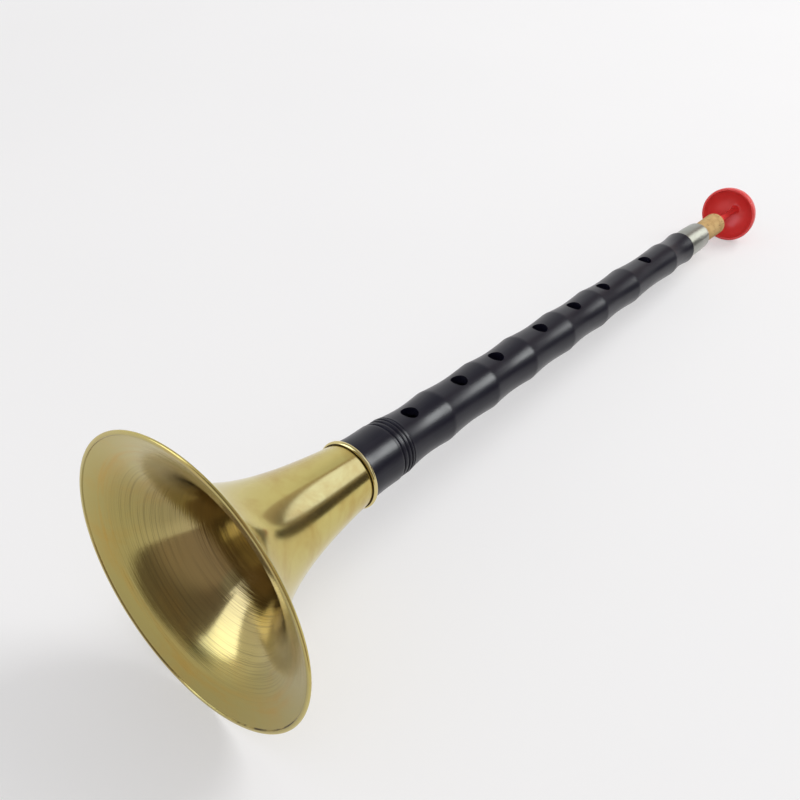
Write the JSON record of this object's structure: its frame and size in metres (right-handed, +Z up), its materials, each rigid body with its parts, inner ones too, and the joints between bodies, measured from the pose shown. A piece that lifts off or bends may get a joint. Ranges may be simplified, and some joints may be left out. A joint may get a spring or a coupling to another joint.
{
  "type": "suona",
  "caption": "Conical double-reed pipe with a flared brass bell, ringed neck, turned black body with finger holes, metal cap, cork-seated red staple with a lip bowl, and a cane reed.",
  "frame": {"origin": "centre of the footprint on the table, as the suona lies on its bell's rim and its lip bowl's rim with the finger holes up", "axes": "+X runs along the pipe from the bell towards the reed, +Y to the player's left across the pipe, +Z up; the pipe's own axis dips 4.91 degrees towards +X"},
  "size_m": [0.4672, 0.1078, 0.1074],
  "materials": {
    "spun_brass": "satin, spun",
    "bright_brass": "polished",
    "black_wood": "satin, stained black",
    "cork_lining": "sheet cork, greased",
    "nickel_silver": "satin",
    "cork": "bare cork",
    "red_plastic": "glossy moulding",
    "tube_brass": "drawn tube",
    "cane": "bare cane",
    "copper_wire": "bright wire"
  },
  "bodies": {
    "pipe": {"body_tube": "black_wood", "top_ferrule": "nickel_silver", "bell_cork": "cork_lining"},
    "bell": {"bell": "spun_brass", "neck_ring": "bright_brass"},
    "staple": {"staple": "red_plastic", "staple_cork": "cork", "tip_tube": "tube_brass"},
    "reed": {"reed": "cane", "reed_binding": "copper_wire"}
  },
  "joints": [
    {"name": "bell_slide", "type": "slide", "parent": "pipe", "child": "bell", "axis": [-0.9963, 0, 0.0855], "range_m": [0, 0.03]},
    {"name": "staple_slide", "type": "slide", "parent": "pipe", "child": "staple", "axis": [0.9963, 0, -0.0855], "range_m": [0, 0.0215]},
    {"name": "reed_slide", "type": "slide", "parent": "staple", "child": "reed", "axis": [0.9963, 0, -0.0855], "range_m": [0, 0.0062]}
  ]
}
